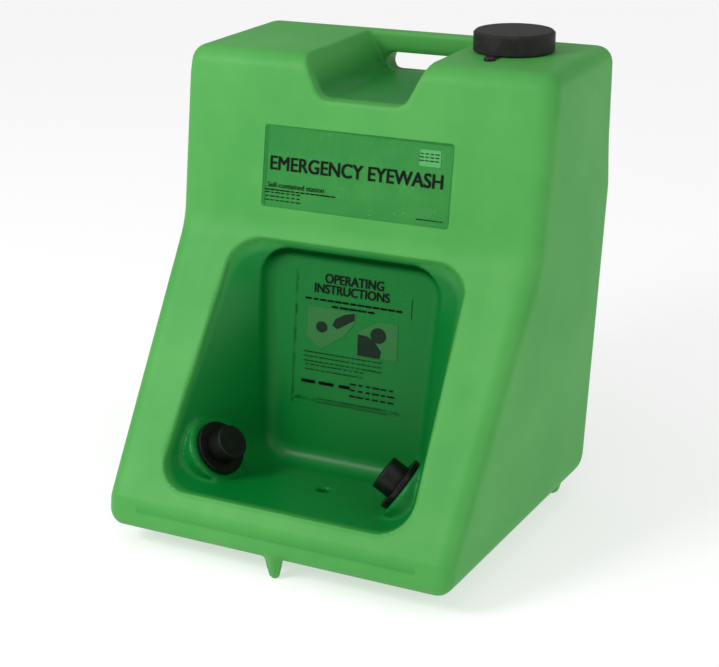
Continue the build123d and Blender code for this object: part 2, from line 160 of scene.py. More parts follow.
def new_object(name: str, mesh: bpy.types.Mesh,
               material: bpy.types.Material | None = None) -> bpy.types.Object:
    """Puts a mesh in the scene as an object at the origin.

    Args:
        name: the object's name.
        mesh: its mesh, with its place in its vertices.
        material: the finish of its only slot, or None to keep the mesh's own.

    Returns:
        The object.
    """
    mesh.name = name
    if material is not None:
        mesh.materials.clear()
        mesh.materials.append(material)
    thing = bpy.data.objects.new(name, mesh)
    bpy.context.scene.collection.objects.link(thing)
    return thing


def baked(thing: bpy.types.Object, name: str) -> bpy.types.Object:
    """Turns an object with live modifiers, a text or a curve into a plain mesh object, and removes the first.

    Args:
        thing: the object to evaluate.
        name: the name of the plain one.

    Returns:
        The plain mesh object, at the origin.
    """
    bpy.context.view_layer.update()
    seen = thing.evaluated_get(bpy.context.evaluated_depsgraph_get())
    mesh = bpy.data.meshes.new_from_object(seen)
    mesh.transform(thing.matrix_world)
    bpy.data.objects.remove(thing)
    return new_object(name, mesh)


def merged_copy(node: str, merge_mm: float = 0.005) -> bpy.types.Mesh:
    """Copies a CAD node's mesh with its loose triangles joined at their shared corners.

    Args:
        node: the CAD node's name.
        merge_mm: corners nearer than this become one.

    Returns:
        A new mesh, closed where the CAD solid is.
    """
    work = bmesh.new()
    work.from_mesh(NODES[node].data)
    bmesh.ops.remove_doubles(work, verts=work.verts, dist=merge_mm * MM)
    mesh = bpy.data.meshes.new(node + "_copy")
    work.to_mesh(mesh)
    work.free()
    return mesh


def corners(mesh: bpy.types.Mesh) -> np.ndarray:
    """A mesh's vertices as an array of one row each."""
    flat = np.zeros(len(mesh.vertices) * 3, np.float32)
    mesh.vertices.foreach_get("co", flat)
    return flat.reshape(-1, 3).astype(float)


def shade_smooth(mesh: bpy.types.Mesh, angle_deg: float) -> None:
    """Smooths a mesh's shading except across edges sharper than an angle.

    Args:
        mesh: the mesh.
        angle_deg: edges sharper than this stay sharp.
    """
    mesh.shade_smooth()
    mesh.set_sharp_from_angle(angle=math.radians(angle_deg))


def dress(names: list[str], material: bpy.types.Material) -> None:
    """Gives kept CAD nodes a finish in their own material slots.

    Args:
        names: the CAD nodes.
        material: the finish.
    """
    for name in names:
        for slot in NODES[name].material_slots:
            slot.material = material
        LOG.info("kept CAD node %s with %s", name, material.name)


def settle(piece: bpy.types.Object, body: str, replaced: tuple[str, ...] = ()) -> bpy.types.Object:
    """Hands a finished piece to the frame and reports it.

    Args:
        piece: the piece, at the origin, with no modifiers left.
        body: the CAD body that it rides on.
        replaced: the CAD nodes that it stands for.

    Returns:
        The same piece.
    """
    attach(piece, body)
    if replaced:
        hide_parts(*replaced)
    LOG.info("%s: %d faces, rides on %s", piece.name, len(piece.data.polygons), body)
    return piece


@dataclass(frozen=True)
class Plate:
    """A flat rectangle on the object: its middle, its right, its up and the way that it faces."""

    middle: Vector
    right: Vector
    up: Vector
    out: Vector
    width: float
    tall: float

    @classmethod
    def of(cls, node: str) -> "Plate":
        """Finds the outer face of a thin flat CAD node that leans back but isn't turned sideways.

        Args:
            node: the CAD node's name.

        Returns:
            Its plate.
        """
        points = corners(NODES[node].data)
        centre = (points.max(0) + points.min(0)) / 2
        lean = np.linalg.svd((points - centre)[:, 1:], full_matrices=False)[2][0]
        lean = lean if lean[1] > 0 else -lean
        up = Vector((0, lean[0], lean[1]))
        right = Vector((1, 0, 0))
        out = right.cross(up)
        spread = (points - centre) @ np.array(out)
        along = (points - centre) @ np.array(up)
        middle = Vector(centre) + out * float(spread.max()) + up * float(along.max() + along.min()) / 2
        return cls(middle, right, up, out, float(np.ptp(points[:, 0])), float(np.ptp(along)))

    def matrix(self, across: float = 0.0, above: float = 0.0, proud: float = 0.0) -> Matrix:
        """The placement of a flat piece drawn in its own X and Y.

        Args:
            across: how far right of the middle, in metres.
            above: how far up from the middle, in metres.
            proud: how far out of the face, in metres.

        Returns:
            The matrix that takes the drawing's X, Y and Z to right, up and out.
        """
        place = self.middle + self.right * across + self.up * above + self.out * proud
        turn = Matrix((self.right, self.up, self.out)).transposed().to_4x4()
        return Matrix.Translation(place) @ turn


# ------------------------------------------------------------------ finishes


def blank_material(name: str) -> tuple[bpy.types.Material, bpy.types.NodeTree, bpy.types.NodeSocket]:
    """Starts a material with an empty tree.

    Args:
        name: the material's name.

    Returns:
        The material, its tree, and the socket with the place on the object.
    """
    made = bpy.data.materials.new(name)
    made.use_nodes = True
    made.node_tree.nodes.clear()
    return made, made.node_tree, add_node(made.node_tree, "ShaderNodeTexCoord").outputs["Object"]


@dataclass(frozen=True)
class RotomouldedPolyethylene:
    """High-density polyethylene, rotomoulded and coloured through: the tank."""

    colour: str = "#4fa14c"
    deep: str = "#459a46"
    # Painted shade: the darker green laid over the basin and handle recess walls.
    recess_painted_shade: str = "#01702a"
    # Painted shade: the still darker green laid over the basin's downward-facing ceilings.
    ceiling_painted_shade: str = "#003f12"
    roughness: float = 0.46
    recess_roughness: float = 0.34
    gleam: float = 0.2
    grain_mm: float = 1.1
    ripple_mm: float = 16.0
    blotch_mm: float = 120.0

    def material(self) -> bpy.types.Material:
        """Builds the tank's finish.

        Returns:
            The material: waxy green that light enters a little, with the fine orange peel of powder melted
            against a cast mould, long ripples from cooling, a wetter sheen inside the basin, and painted
            shade:
            darker green over the basin and handle recess walls, darker still on the basin's downward-facing
            ceilings.
        """
        made, tree, where = blank_material("hdpe_rotomoulded_green_satin")
        # Mask of painted shade: basin and handle recess up to 1, downward-facing basin ceilings above 1.
        inside = add_node(tree, "ShaderNodeAttribute", {"attribute_name": "recess_painted_shade"}).outputs["Fac"]
        blotch = noise(tree, where, self.blotch_mm, 3.0, 0.55)
        cloud = add_node(tree, "ShaderNodeMapRange", {}, {
            "Value": blotch.outputs["Fac"], "From Min": 0.35, "From Max": 0.65})
        body = add_node(tree, "ShaderNodeMix", {"data_type": "RGBA"}, {
            0: cloud.outputs["Result"], 6: linear(self.colour), 7: linear(self.deep)})
        # Painted shade: darker green mixed in over the basin and handle recess.
        recess_shaded = add_node(tree, "ShaderNodeMix", {"data_type": "RGBA"}, {
            0: inside, 6: body.outputs[2], 7: linear(self.recess_painted_shade)})
        # Painted shade: darker still on the basin ceilings, where the mask climbs from 1 to 2.
        ceiling_shade_share = add_node(tree, "ShaderNodeMapRange", {}, {
            "Value": inside, "From Min": 1.0, "From Max": 2.0})
        colour = add_node(tree, "ShaderNodeMix", {"data_type": "RGBA"}, {
            0: ceiling_shade_share.outputs["Result"], 6: recess_shaded.outputs[2], 7: linear(self.ceiling_painted_shade)})
        grain = noise(tree, where, self.grain_mm, 2.0, 0.6)
        ripple = noise(tree, where, self.ripple_mm, 1.0, 0.4)
        gloss = add_node(tree, "ShaderNodeMapRange", {}, {
            "Value": inside, "To Min": self.roughness, "To Max": self.recess_roughness})
        worn = add_node(tree, "ShaderNodeMath", {"operation": "MULTIPLY_ADD"}, {
            0: grain.outputs["Fac"], 1: 0.10, 2: gloss.outputs["Result"]})
        peel = add_node(tree, "ShaderNodeBump", {}, {
            "Strength": 0.22, "Distance": 0.12 * MM, "Height": grain.outputs["Fac"]})
        wave = add_node(tree, "ShaderNodeBump", {}, {
            "Strength": 0.35, "Distance": 0.5 * MM, "Height": ripple.outputs["Fac"],
            "Normal": peel.outputs["Normal"]})
        shader = add_node(tree, "ShaderNodeBsdfPrincipled", {}, {
            "Base Color": colour.outputs[2], "Roughness": worn.outputs["Value"], "IOR": 1.53,
            "Specular IOR Level": self.gleam,
            "Normal": wave.outputs["Normal"]})
        add_node(tree, "ShaderNodeOutputMaterial", {}, {"Surface": shader.outputs["BSDF"]})
        return made


@dataclass(frozen=True)
class MouldedPlastic:
    """An injection-moulded plastic with a spark-eroded grain and faint handling marks."""

    name: str
    colour: str
    rubbed: str
    roughness: float
    grain_mm: float
    grain_depth_mm: float
    mark_mm: float = 14.0
    index: float = 1.49
    gleam: float = 0.3

    def material(self) -> bpy.types.Material:
        """Builds the finish.

        Returns:
            The material: a dull even colour broken by fine grain, greyer where hands have rubbed it.
        """
        made, tree, where = blank_material(self.name)
        marks = noise(tree, where, self.mark_mm, 5.0, 0.62)
        rubbed = add_node(tree, "ShaderNodeMapRange", {}, {
            "Value": marks.outputs["Fac"], "From Min": 0.48, "From Max": 0.72})
        colour = add_node(tree, "ShaderNodeMix", {"data_type": "RGBA"}, {
            0: rubbed.outputs["Result"], 6: linear(self.colour), 7: linear(self.rubbed)})
        grain = noise(tree, where, self.grain_mm, 3.0, 0.7)
        rough = add_node(tree, "ShaderNodeMath", {"operation": "MULTIPLY_ADD"}, {
            0: marks.outputs["Fac"], 1: 0.12, 2: self.roughness - 0.06})
        bump = add_node(tree, "ShaderNodeBump", {}, {
            "Strength": 0.5, "Distance": self.grain_depth_mm * MM, "Height": grain.outputs["Fac"]})
        shader = add_node(tree, "ShaderNodeBsdfPrincipled", {}, {
            "Base Color": colour.outputs[2], "Roughness": rough.outputs["Value"], "IOR": self.index,
            "Specular IOR Level": self.gleam,
            "Normal": bump.outputs["Normal"]})
        add_node(tree, "ShaderNodeOutputMaterial", {}, {"Surface": shader.outputs["BSDF"]})
        return made


@dataclass(frozen=True)
class ClearFilm:
    """Clear vinyl film, cut and stuck on: the labels."""

    tint: str
    cover: float
    roughness: float = 0.22

    def material(self, name: str) -> bpy.types.Material:
        """Builds the finish.

        Args:
            name: the material's name.

        Returns:
            The material: a thin veil over the tank's own green, shinier than the tank, faintly wrinkled
            where air is caught under it.
        """
        made, tree, where = blank_material(name)
        haze = noise(tree, where, 35.0, 3.0, 0.5)
        veil = add_node(tree, "ShaderNodeMapRange", {}, {
            "Value": haze.outputs["Fac"], "From Min": 0.3, "From Max": 0.7,
            "To Min": self.cover * 0.8, "To Max": self.cover * 1.2})
        wrinkle = noise(tree, where, 7.0, 2.0, 0.5)
        bump = add_node(tree, "ShaderNodeBump", {}, {
            "Strength": 0.3, "Distance": 0.15 * MM, "Height": wrinkle.outputs["Fac"]})
        shader = add_node(tree, "ShaderNodeBsdfPrincipled", {}, {
            "Base Color": linear(self.tint), "Roughness": self.roughness, "IOR": 1.5,
            "Alpha": veil.outputs["Result"], "Normal": bump.outputs["Normal"]})
        add_node(tree, "ShaderNodeOutputMaterial", {}, {"Surface": shader.outputs["BSDF"]})
        return made


@dataclass(frozen=True)
class ScreenInk:
    """Ink laid on film by screen printing."""

    name: str
    colour: str
    thin: str
    gleam: float = 0.12

    def material(self) -> bpy.types.Material:
        """Builds the finish.

        Returns:
            The material: flat dark ink with the slight mottle that a screen leaves.
        """
        made, tree, where = blank_material(self.name)
        mottle = noise(tree, where, 2.5, 4.0, 0.7)
        ink = add_node(tree, "ShaderNodeMix", {"data_type": "RGBA"}, {
            0: mottle.outputs["Fac"], 6: linear(self.colour), 7: linear(self.thin)})
        shader = add_node(tree, "ShaderNodeBsdfPrincipled", {}, {
            "Base Color": ink.outputs[2], "Roughness": 0.45, "IOR": 1.5, "Specular IOR Level": self.gleam})
        add_node(tree, "ShaderNodeOutputMaterial", {}, {"Surface": shader.outputs["BSDF"]})
        return made


@dataclass(frozen=True)
class Finishes:
    """Every finish on the station, made once."""

    tank: bpy.types.Material
    cap: bpy.types.Material
    nozzle: bpy.types.Material
    pull_cap: bpy.types.Material
    insert: bpy.types.Material
    strap: bpy.types.Material
    seal: bpy.types.Material
    film: bpy.types.Material
    basin_film: bpy.types.Material
    ink: bpy.types.Material
    grey_ink: bpy.types.Material
    pale_ink: bpy.types.Material
    tag: bpy.types.Material
    bubble: bpy.types.Material

    @classmethod
    def make(cls) -> "Finishes":
        """Builds the set.

        Returns:
            The finishes.
        """
        return cls(
            tank=RotomouldedPolyethylene().material(),
            # Glass-filled polypropylene with a coarse spark-eroded grain: a soft charcoal, no sharp glints.
            cap=MouldedPlastic("pp_moulded_black_textured", "#1b1919", "#2a2727", 0.55, 0.7, 0.10).material(),
            # Acetal from a polished mould: deep black with a tight satin highlight.
            nozzle=MouldedPlastic(
                "acetal_moulded_black_satin", "#060606", "#0f0e0e", 0.36, 1.6, 0.03
            ).material(),
            # Soft polyethylene: black, a little duller than the nozzle that it closes.
            pull_cap=MouldedPlastic(
                "ldpe_moulded_black_matte", "#070706", "#131211", 0.42, 1.2, 0.05
            ).material(),
            # Natural acetal: milky off-white, seen only through the spray holes.
            insert=MouldedPlastic("acetal_moulded_natural", "#cfd0c8", "#bfc1b8", 0.35, 1.5, 0.02).material(),
            # Flexible polyethylene strap: black, slightly waxy.
            strap=MouldedPlastic("ldpe_strap_black_waxy", "#141312", "#272524", 0.40, 1.4, 0.04).material(),
            # Nitrile rubber: near black and fully matte.
            seal=MouldedPlastic(
                "nitrile_rubber_moulded_black", "#151414", "#262424", 0.68, 0.9, 0.04, 9.0
            ).material(),
            film=ClearFilm("#269440", 0.42).material("vinyl_film_clear_gloss"),
            basin_film=ClearFilm("#1f8a3a", 0.06).material("vinyl_film_clear_satin"),
            ink=ScreenInk("ink_screen_printed_black", "#040804", "#0a110b").material(),
            grey_ink=ScreenInk("ink_screen_printed_dark_halftone", "#0e1a11", "#1b3020").material(),
            pale_ink=ScreenInk("ink_screen_printed_pale_halftone", "#2a6634", "#387842").material(),
            tag=ScreenInk("paper_label_coated_pale", "#58a864", "#4f9f5b").material(),
            bubble=ScreenInk("vinyl_film_trapped_air", "#8fcf93", "#79bd7f").material(),
        )


# -------------------------------------------------------------- geometry trees


def geometry_tree(name: str, inputs: dict[str, tuple[str, object]]) -> bpy.types.NodeTree:
    """Starts a geometry tree with named inputs and one geometry output.

    Args:
        name: the tree's name.
        inputs: each input's name with its socket type and its default value, or None for no default.

    Returns:
        The tree, with only its input and output nodes in it.
    """
    tree = bpy.data.node_groups.new(name, "GeometryNodeTree")
    for label, (kind, value) in inputs.items():
        socket = tree.interface.new_socket(label, in_out="INPUT", socket_type=kind)
        if value is not None:
            socket.default_value = value
    tree.interface.new_socket("Geometry", in_out="OUTPUT", socket_type="NodeSocketGeometry")
    return tree


def grown(name: str, tree: bpy.types.NodeTree, values: dict[str, object], place: Matrix) -> bpy.types.Object:
    """Runs a geometry tree once and keeps what it makes as a plain mesh.

    Args:
        name: the piece's name.
        tree: the geometry tree.
        values: the tree's named inputs.
        place: where the tree's own origin and axes lie.

    Returns:
        The piece, at the origin, with its place in its mesh.
    """
    seed = bpy.data.objects.new(name + "_seed", bpy.data.meshes.new(name + "_seed"))
    bpy.context.scene.collection.objects.link(seed)
    growing = seed.modifiers.new("grow", "NODES")
    growing.node_group = tree
    for item in tree.interface.items_tree:
        if item.item_type == "SOCKET" and item.in_out == "INPUT" and item.name in values:
            growing[item.identifier] = values[item.name]
    piece = baked(seed, name)
    piece.data.transform(place)
    return piece


def print_lines_tree() -> bpy.types.NodeTree:
    """The tree that fills a block with lines of small print, drawn as word-long bars.

    Returns:
        The tree. Its lines run along X, from the top down, in a block centred on the origin.
    """
    real = "NodeSocketFloat"
    tree = geometry_tree("small_print_lines", {
        "Width": (real, 0.05), "Height": (real, 0.02), "Lines": ("NodeSocketInt", 4),
        "Words": ("NodeSocketInt", 7), "Bar Height": (real, 0.001), "Thickness": (real, 0.00005),
        "Seed": ("NodeSocketInt", 1), "Ink": ("NodeSocketMaterial", None)})
    given = add_node(tree, "NodeGroupInput").outputs
    grid = add_node(tree, "GeometryNodeMeshGrid", {}, {
        "Size X": given["Width"], "Size Y": given["Height"],
        "Vertices X": given["Words"], "Vertices Y": given["Lines"]})
    points = add_node(tree, "GeometryNodeMeshToPoints", {}, {"Mesh": grid.outputs["Mesh"]})
    gaps = add_node(tree, "ShaderNodeMath", {"operation": "SUBTRACT"}, {0: given["Words"], 1: 1.0})
    pitch = add_node(tree, "ShaderNodeMath", {"operation": "DIVIDE"}, {
        0: given["Width"], 1: gaps.outputs["Value"]})
    length = add_node(tree, "FunctionNodeRandomValue", {"data_type": "FLOAT"}, {
        2: 0.55, 3: 0.98, "Seed": given["Seed"]})
    bar = add_node(tree, "ShaderNodeMath", {"operation": "MULTIPLY"}, {
        0: pitch.outputs["Value"], 1: length.outputs[1]})
    shape = add_node(tree, "ShaderNodeCombineXYZ", {}, {
        "X": bar.outputs["Value"], "Y": given["Bar Height"], "Z": given["Thickness"]})
    block = add_node(tree, "GeometryNodeMeshCube")
    words = add_node(tree, "GeometryNodeInstanceOnPoints", {}, {
        "Points": points.outputs["Points"], "Instance": block.outputs["Mesh"],
        "Scale": shape.outputs["Vector"]})
    plain = add_node(tree, "GeometryNodeRealizeInstances", {}, {"Geometry": words.outputs["Instances"]})
    inked = add_node(tree, "GeometryNodeSetMaterial", {}, {
        "Geometry": plain.outputs["Geometry"], "Material": given["Ink"]})
    add_node(tree, "NodeGroupOutput", {}, {"Geometry": inked.outputs["Geometry"]})
    return tree


def bubbles_tree() -> bpy.types.NodeTree:
    """The tree that scatters the small flat blisters of air caught under a film.

    Returns:
        The tree. Its field is centred on the origin, in X and Y.
    """
    real = "NodeSocketFloat"
    tree = geometry_tree("film_air_blisters", {
        "Width": (real, 0.2), "Height": (real, 0.1), "Density": (real, 4000.0), "Smallest": (real, 0.0002),
        "Largest": (real, 0.0006), "Seed": ("NodeSocketInt", 1), "Film": ("NodeSocketMaterial", None)})
    given = add_node(tree, "NodeGroupInput").outputs
    sheet = add_node(tree, "GeometryNodeMeshGrid", {}, {
        "Size X": given["Width"], "Size Y": given["Height"], "Vertices X": 2, "Vertices Y": 2})
    spread = add_node(tree, "GeometryNodeDistributePointsOnFaces", {}, {
        "Mesh": sheet.outputs["Mesh"], "Density": given["Density"], "Seed": given["Seed"]})
    radius = add_node(tree, "FunctionNodeRandomValue", {"data_type": "FLOAT"}, {
        2: given["Smallest"], 3: given["Largest"], "Seed": given["Seed"]})
    flat = add_node(tree, "ShaderNodeCombineXYZ", {}, {
        "X": radius.outputs[1], "Y": radius.outputs[1], "Z": 0.00008})
    dome = add_node(tree, "GeometryNodeMeshIcoSphere", {}, {"Radius": 1.0, "Subdivisions": 2})
    blisters = add_node(tree, "GeometryNodeInstanceOnPoints", {}, {
        "Points": spread.outputs["Points"], "Instance": dome.outputs["Mesh"],
        "Scale": flat.outputs["Vector"]})
    plain = add_node(tree, "GeometryNodeRealizeInstances", {}, {"Geometry": blisters.outputs["Instances"]})
    clad = add_node(tree, "GeometryNodeSetMaterial", {}, {
        "Geometry": plain.outputs["Geometry"], "Material": given["Film"]})
    add_node(tree, "NodeGroupOutput", {}, {"Geometry": clad.outputs["Geometry"]})
    return tree


def thread_tree() -> bpy.types.NodeTree:
    """The tree that winds a buttress rib round a neck or inside a cap.

    Returns:
        The tree. Its helix starts at the origin's height and climbs along Z.
    """
    real = "NodeSocketFloat"
    tree = geometry_tree("helical_thread_rib", {
        "Radius": (real, 0.046), "Turns": (real, 2.0), "Climb": (real, 0.012), "Root": (real, 0.003),
        "Crest": (real, 0.0012), "Depth": (real, 0.002), "Plastic": ("NodeSocketMaterial", None)})
    given = add_node(tree, "NodeGroupInput").outputs
    helix = add_node(tree, "GeometryNodeCurveSpiral", {}, {
        "Resolution": 96, "Rotations": given["Turns"], "Start Radius": given["Radius"],
        "End Radius": given["Radius"], "Height": given["Climb"]})
    level = add_node(tree, "GeometryNodeSetCurveNormal", {"mode": "Z_UP"}, {"Curve": helix.outputs["Curve"]})
    profile = add_node(tree, "GeometryNodeCurvePrimitiveQuadrilateral", {"mode": "TRAPEZOID"}, {
        "Height": given["Depth"], "Bottom Width": given["Root"], "Top Width": given["Crest"], "Offset": 0.0})
    turned = add_node(tree, "GeometryNodeTransform", {}, {
        "Geometry": profile.outputs["Curve"], "Rotation": (0.0, 0.0, math.radians(90.0))})
    rib = add_node(tree, "GeometryNodeCurveToMesh", {}, {
        "Curve": level.outputs["Curve"], "Profile Curve": turned.outputs["Geometry"], "Fill Caps": True})
    plain = add_node(tree, "GeometryNodeRealizeInstances", {}, {"Geometry": rib.outputs["Mesh"]})
    clad = add_node(tree, "GeometryNodeSetMaterial", {}, {
        "Geometry": plain.outputs["Geometry"], "Material": given["Plastic"]})
    add_node(tree, "NodeGroupOutput", {}, {"Geometry": clad.outputs["Geometry"]})
    return tree


# --------------------------------------------------------------- sub-assemblies


@dataclass
class Tank:
    """The rotomoulded shell, with the soft edges and slight sink that the process leaves."""

    finish: bpy.types.Material
    voxel: float = 3.0 * MM
    soften: int = 7
    neck_cup: float = 34.0 * MM
    sink: float = 3.0 * MM
    faces: int = 190000
    spigot_zone: float = 18.5 * MM
    neck_zone: float = 47.0 * MM
    rivet_zone: float = 4.0 * MM
    bore_reach: float = 14.0 * MM
    film_thick: float = 0.6 * MM
    label_depth: float = 1.4 * MM
    label_margin: float = 0.8 * MM
    label_reach: tuple[float, float] = (0.15, 0.06)
    taper: float = 0.046
    lip_height: float = 0.069
    mouth_slope: float = 0.75
    mouth_lip: float = 0.004
    mouth_fade: float = 0.02
    basin_half: float = 0.205
    basin_floor: float = 0.058
    basin_top: float = 0.43
    basin_back: float = 0.02
    # Height above which downward-facing basin faces get painted shade.
    ceiling_shade_from: float = 0.25
    neck_rise: float = 0.022
    handle_half: float = 0.092
    handle_deep: float = 0.058
    handle_front: float = 0.030
    handle_back: float = 0.23
    # Share of the basin mask given to the handle recess: it keeps the sink off and lays painted shade there.
    handle_share: float = 0.75

    def outer_skin(self) -> bpy.types.Mesh:
        """Takes the CAD shell's outer skin, and closes its neck with a cup and its spigot holes flat.

        Returns:
            A closed mesh of what can be seen of the shell.
        """
        mesh = merged_copy("tank_shell")
        work = bmesh.new()
        work.from_mesh(mesh)
        neck = Vector(JOINTS["cap_turn"]["pos_m"])
        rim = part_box("tank_shell")[1].z
        low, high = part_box("tether_rivet")
        upright = Vector((0, 0, 1))
        bores = [(Vector((neck.x, neck.y, rim)), upright, self.neck_zone),
                 (Vector(((low.x + high.x) / 2, (low.y + high.y) / 2, rim)), upright, self.rivet_zone)]
        for side in Side:
            low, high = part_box("nozzle_gasket_" + side.value)
            bores.append(((low + high) / 2, Vector(JOINTS["pull_" + side.value]["axis"]), self.spigot_zone))

        def in_bore(centre: Vector) -> bool:
            """Whether a point lies on the wall of a hole through the shell, and not on the skin round it."""
            for middle, axis, radius in bores:
                depth = (centre - middle).dot(axis)
                if abs(depth) < self.bore_reach and (centre - middle - axis * depth).length < radius:
                    return True
            return False

        plate = Plate.of("front_label")
        floor = plate.middle - plate.out * self.film_thick
        wide, high = self.label_reach
        for vertex in work.verts:
            off = vertex.co - floor
            if abs(off.dot(plate.out)) < 0.1 * MM and abs(off.x) < wide and abs(off.dot(plate.up)) < high:
                vertex.co += plate.out * self.label_depth

        walls = [f for f in work.faces if in_bore(f.calc_center_median())]
        bmesh.ops.delete(work, geom=walls, context="FACES")
        start = max(work.verts, key=lambda v: v.co.z)
        kept = {start}
        waiting = [start]
        while waiting:
            vertex = waiting.pop()
            for edge in vertex.link_edges:
                other = edge.other_vert(vertex)
                if other not in kept:
                    kept.add(other)
                    waiting.append(other)
        bmesh.ops.delete(work, geom=[v for v in work.verts if v not in kept], context="VERTS")
        open_rim = [e for e in work.edges if e.is_boundary and e.verts[0].co.z > rim - 2 * MM]
        sunk = bmesh.ops.extrude_edge_only(work, edges=open_rim)["geom"]
        bmesh.ops.translate(work, verts=[g for g in sunk if isinstance(g, bmesh.types.BMVert)],
                            vec=(0, 0, -self.neck_cup))
        bmesh.ops.holes_fill(work, edges=[e for e in work.edges if e.is_boundary], sides=0)
        bmesh.ops.recalc_face_normals(work, faces=work.faces)
        work.to_mesh(mesh)
        work.free()
        return mesh

    def softened(self) -> bpy.types.Object:
        """Remeshes the skin and rounds its edges.

        Returns:
            The plain softened mesh object.
        """
        raw = new_object("tank_raw", self.outer_skin())
        even = raw.modifiers.new("even", "REMESH")
        even.mode = "VOXEL"
        even.voxel_size = self.voxel
        soft = raw.modifiers.new("soft", "SMOOTH")
        soft.factor = 0.5
        soft.iterations = self.soften
        return baked(raw, "tank_soft")

    def shaped(self, mesh: bpy.types.Mesh) -> None:
        """Sinks the broad front between its edges, and marks painted shade: recesses up to 1, ceilings above
        1.

        Args:
            mesh: the softened tank, changed in place.
        """
        points = corners(mesh)
        mesh.update()
        facing = np.zeros(len(mesh.vertices) * 3, np.float32)
        mesh.vertices.foreach_get("normal", facing)
        facing = facing.reshape(-1, 3).astype(float)
        low, high = points.min(0), points.max(0)
        half = high[0] - (points[:, 2] - low[2]) / (high[2] - low[2]) * self.taper
        across = np.abs(points[:, 0]) / half
        front = np.clip((-facing[:, 1] - 0.30) / 0.3, 0, 1)
        film_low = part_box("front_label")[0]
        basin = self.basin_share(points)
        # Painted shade on ceilings: downward-facing faces high in the basin get the darkest green.
        ceiling_shade_share = np.clip((-facing[:, 2] - 0.25) / 0.35, 0, 1) * (basin > 0.5)
        ceiling_shade_share *= points[:, 2] > self.ceiling_shade_from
        edge = np.clip((0.965 - across) / 0.16, 0, 1)
        sink = self.sink * front * edge * edge * (3 - 2 * edge) * (1 - basin)
        lower = np.clip((film_low.z - 0.01 - points[:, 2]) / 0.06, 0, 1)
        points -= facing * (sink * lower)[:, None]
        mesh.vertices.foreach_set("co", points.astype(np.float32).ravel())
        # Stores where shade is painted, read by the tank's material.
        mark = mesh.attributes.new("recess_painted_shade", "FLOAT", "POINT")
        mark.data.foreach_set("value", (basin + ceiling_shade_share).astype(np.float32))
        mesh.update()

    def label_cutter(self) -> bpy.types.Object:
        """Makes the slab that cuts the front label's shallow recess.

        Returns:
            A closed slab with round corners, whose inner face is the recess's floor.
        """
        plate = Plate.of("front_label")
        margin = 2 * self.label_margin
        outline = rounded(plate.width + margin, plate.tall + margin, 4 * MM)
        work = bmesh.new()
        face = work.faces.new([work.verts.new((x, y, -self.film_thick)) for x, y in outline])
        raised = bmesh.ops.extrude_face_region(work, geom=[face])["geom"]
        bmesh.ops.translate(work, verts=[g for g in raised if isinstance(g, bmesh.types.BMVert)],
                            vec=(0, 0, 12 * MM))
        bmesh.ops.recalc_face_normals(work, faces=work.faces)
        mesh = bpy.data.meshes.new("label_cutter")
        work.to_mesh(mesh)
        work.free()
        mesh.transform(plate.matrix())
        return new_object("label_cutter", mesh)

    def basin_share(self, points: np.ndarray) -> np.ndarray:
        """How far inside the basin or the handle recess each point lies, from 0 on the outside to 1.

        Args:
            points: the mesh's corners.

        Returns:
            One share a point.
        """
        front_y = CAD_BOX[0].y + (points[:, 2] - self.lip_height) * self.mouth_slope
        depth = points[:, 1] - front_y - self.mouth_lip
        within = np.clip(depth / self.mouth_fade, 0, 1)
        within *= np.abs(points[:, 0]) < self.basin_half
        within *= (points[:, 2] < self.basin_top) & (points[:, 2] > self.basin_floor)
        within *= points[:, 1] < self.basin_back
        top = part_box("filler_neck")[1].z - self.neck_rise
        sunk = np.clip((top - 0.012 - points[:, 2]) / 0.03, 0, 1)
        sunk *= (np.abs(points[:, 0]) < self.handle_half) & (points[:, 2] > top - self.handle_deep)
        sunk *= points[:, 1] > self.handle_front
        return np.maximum(within, self.handle_share * sunk * (points[:, 1] < self.handle_back))

    def build(self) -> bpy.types.Object:
        """Builds and dresses the tank.

        Returns:
            The finished piece.
        """
        soft = self.softened()
        self.shaped(soft.data)
        triangles = sum(len(p.vertices) - 2 for p in soft.data.polygons)
        if triangles > self.faces:
            thin = soft.modifiers.new("thin", "DECIMATE")
            thin.ratio = self.faces / triangles
        cutter = self.label_cutter()
        cut = soft.modifiers.new("label_recess", "BOOLEAN")
        cut.operation = "DIFFERENCE"
        cut.solver = "EXACT"
        cut.object = cutter
        tank = baked(soft, "tank_moulding")
        bpy.data.objects.remove(cutter)
        tank.data.materials.clear()
        tank.data.materials.append(self.finish)
        shade_smooth(tank.data, 55.0)
        return settle(tank, "station", ("tank_shell",))


